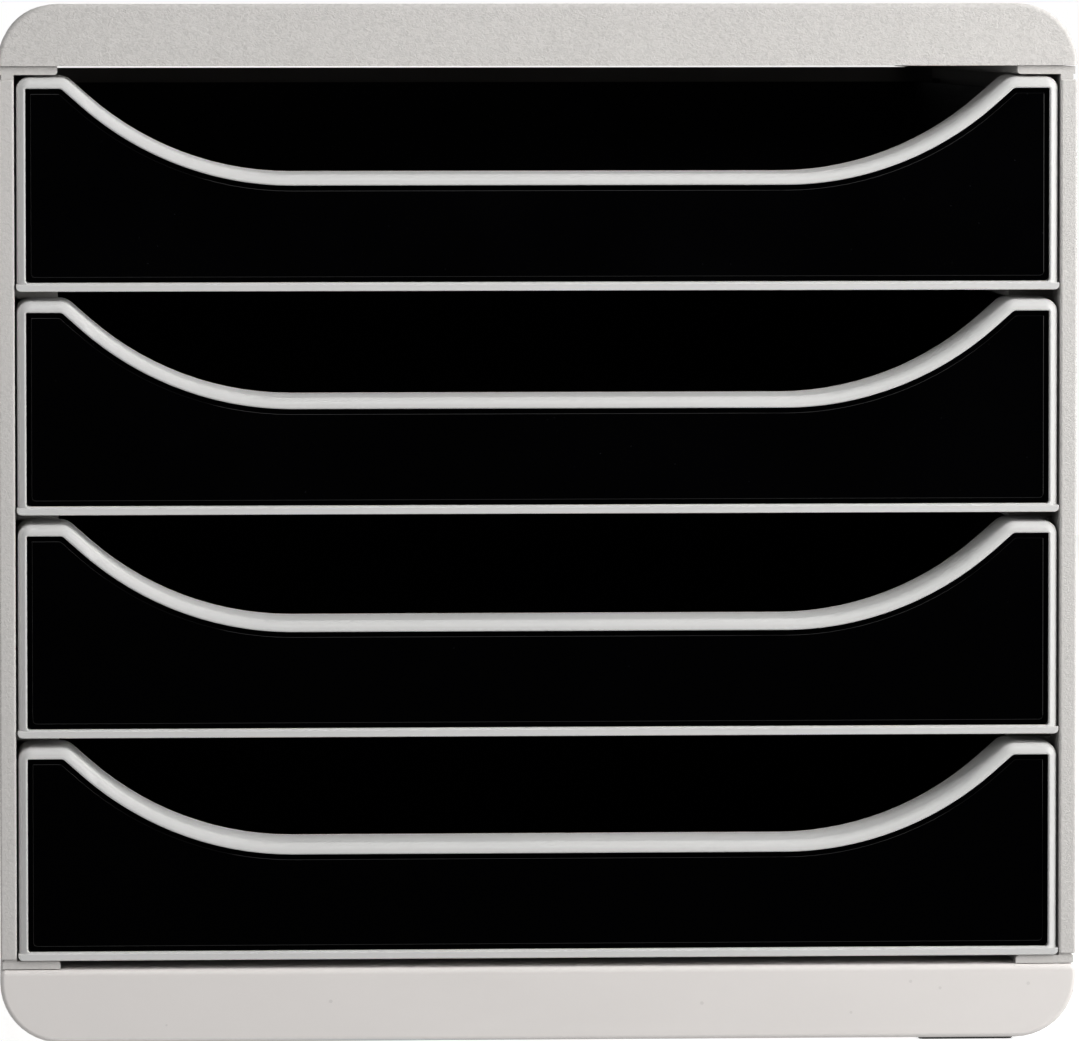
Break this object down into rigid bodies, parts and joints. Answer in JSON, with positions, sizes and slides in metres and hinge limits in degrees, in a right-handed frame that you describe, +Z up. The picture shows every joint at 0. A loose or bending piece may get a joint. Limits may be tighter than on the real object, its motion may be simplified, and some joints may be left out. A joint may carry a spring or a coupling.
{
  "type": "letter tray stack with drawers",
  "caption": "Desktop casing with sliding letter drawers, each with a scooped finger grip, a deep light bezel and a gloss dark front, on rubber feet.",
  "frame": {"origin": "middle of the footprint, on the surface that the feet stand on", "axes": "+Z up, the drawer fronts face -Y, +X to the right seen from the front"},
  "size_m": [0.278, 0.347, 0.268],
  "materials": {
    "casing": "moulded, fine spark-eroded grain",
    "frame": "moulded, smooth satin",
    "plate": "polished black",
    "tray": "moulded, smooth satin black",
    "rubber": "matt"
  },
  "bodies": {
    "casing": {"top_cover": "casing", "base": "casing", "left_side_panel": "casing", "right_side_panel": "casing", "back_panel": "casing", "foot_front_left": "rubber", "foot_front_right": "rubber", "foot_rear_left": "rubber", "foot_rear_right": "rubber"},
    "drawer_1": {"tray_1": "tray", "front_frame_1": "frame", "front_panel_1": "plate"},
    "drawer_2": {"tray_2": "tray", "front_frame_2": "frame", "front_panel_2": "plate"},
    "drawer_3": {"tray_3": "tray", "front_frame_3": "frame", "front_panel_3": "plate"},
    "drawer_4": {"tray_4": "tray", "front_frame_4": "frame", "front_panel_4": "plate"}
  },
  "joints": [
    {"name": "drawer_1_slide", "type": "slide", "parent": "casing", "child": "drawer_1", "axis": [0, -1, 0], "range_m": [0, 0.2575]},
    {"name": "drawer_2_slide", "type": "slide", "parent": "casing", "child": "drawer_2", "axis": [0, -1, 0], "range_m": [0, 0.2575]},
    {"name": "drawer_3_slide", "type": "slide", "parent": "casing", "child": "drawer_3", "axis": [0, -1, 0], "range_m": [0, 0.2575]},
    {"name": "drawer_4_slide", "type": "slide", "parent": "casing", "child": "drawer_4", "axis": [0, -1, 0], "range_m": [0, 0.2575]}
  ]
}
